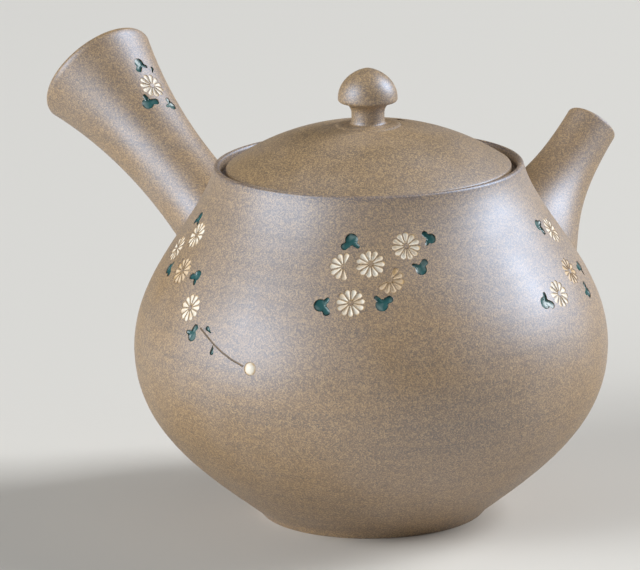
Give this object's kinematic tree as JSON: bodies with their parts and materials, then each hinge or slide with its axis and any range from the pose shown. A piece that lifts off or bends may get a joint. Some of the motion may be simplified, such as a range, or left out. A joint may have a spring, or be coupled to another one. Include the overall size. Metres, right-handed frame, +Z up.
{
  "type": "side-handled teapot",
  "caption": "Round stoneware teapot with a hollow side handle, a tapered spout with a ceramic strainer behind it, a domed lift-off lid and carved flower sprays.",
  "frame": {"origin": "centre of the flat foot, on the surface that the pot stands on", "axes": "+Z up, +X towards the spout, +Y towards the handle"},
  "size_m": [0.1228, 0.1432, 0.0952],
  "materials": {
    "stoneware": "unglazed, fine speckle",
    "lid_stoneware": "unglazed, fine speckle",
    "white_slip": "matte slip",
    "tan_slip": "matte slip",
    "green_glaze": "glossy glaze",
    "brown_line": "matte slip"
  },
  "bodies": {
    "pot": {"body": "stoneware", "spout": "stoneware", "handle": "stoneware", "strainer": "stoneware", "front_white_petals": "white_slip", "front_tan_petals": "tan_slip", "front_leaves": "green_glaze", "handle_side_white_petals": "white_slip", "handle_side_tan_petals": "tan_slip", "handle_side_leaves": "green_glaze", "handle_side_stem": "brown_line", "handle_side_bud": "white_slip", "spout_side_white_petals": "white_slip", "spout_side_tan_petals": "tan_slip", "spout_side_leaves": "green_glaze", "grip_white_petals": "white_slip", "grip_leaves": "green_glaze"},
    "lid": {"lid": "lid_stoneware", "lid_knob": "lid_stoneware"}
  },
  "joints": [
    {"name": "lid_lift", "type": "slide", "parent": "pot", "child": "lid", "axis": [0, 0, 1], "range_m": [0, 0.06]}
  ]
}
